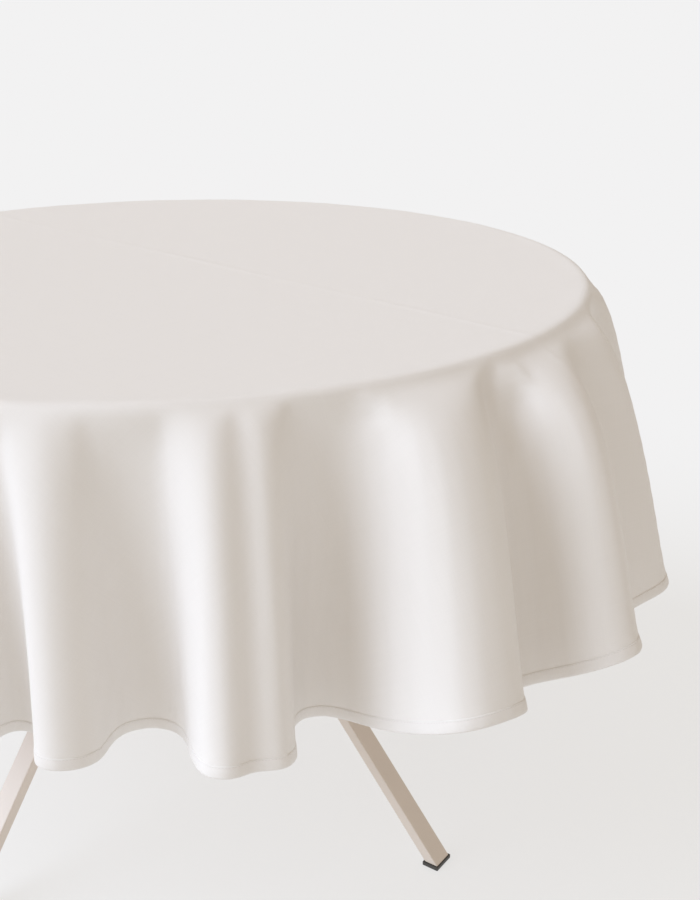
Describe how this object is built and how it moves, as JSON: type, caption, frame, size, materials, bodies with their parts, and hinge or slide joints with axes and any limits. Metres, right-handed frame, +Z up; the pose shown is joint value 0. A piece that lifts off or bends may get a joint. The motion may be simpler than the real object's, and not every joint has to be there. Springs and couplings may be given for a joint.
{
  "type": "table with tablecloth",
  "caption": "Round table on crossed steel legs, with a plain round tablecloth draped over it in soft folds down to mid height.",
  "frame": {"origin": "on the floor, under the middle of the table", "axes": "+Z up; -Y towards the viewer in the object's usual view; +X to the viewer's right"},
  "size_m": [1.3204, 1.2458, 0.7513],
  "materials": {
    "tablecloth_fabric": "plain woven polyester and cotton, matt with a faint sheen, warm off-white",
    "board_wood": "lacquered beech plywood",
    "frame_steel": "satin powder coat, taupe",
    "screw_steel": "zinc plated",
    "glide_plastic": "moulded, matt"
  },
  "bodies": {
    "table": {"arm_1": "frame_steel", "arm_2": "frame_steel", "arm_3": "frame_steel", "arm_4": "frame_steel", "flange_1": "frame_steel", "flange_2": "frame_steel", "flange_3": "frame_steel", "flange_4": "frame_steel", "flange_screw_1": "screw_steel", "flange_screw_2": "screw_steel", "flange_screw_3": "screw_steel", "flange_screw_4": "screw_steel", "flange_screw_5": "screw_steel", "flange_screw_6": "screw_steel", "flange_screw_7": "screw_steel", "flange_screw_8": "screw_steel", "glide_1": "glide_plastic", "glide_2": "glide_plastic", "glide_3": "glide_plastic", "glide_4": "glide_plastic", "hub": "frame_steel", "leg_1": "frame_steel", "leg_2": "frame_steel", "leg_3": "frame_steel", "leg_4": "frame_steel", "tabletop": "board_wood"},
    "tablecloth": {"tablecloth_panel": "tablecloth_fabric", "hem_band": "tablecloth_fabric"}
  },
  "joints": [
    {"name": "cloth_lift", "type": "slide", "parent": "table", "child": "tablecloth", "axis": [0, 0, 1], "range_m": [0, 0.45]}
  ]
}
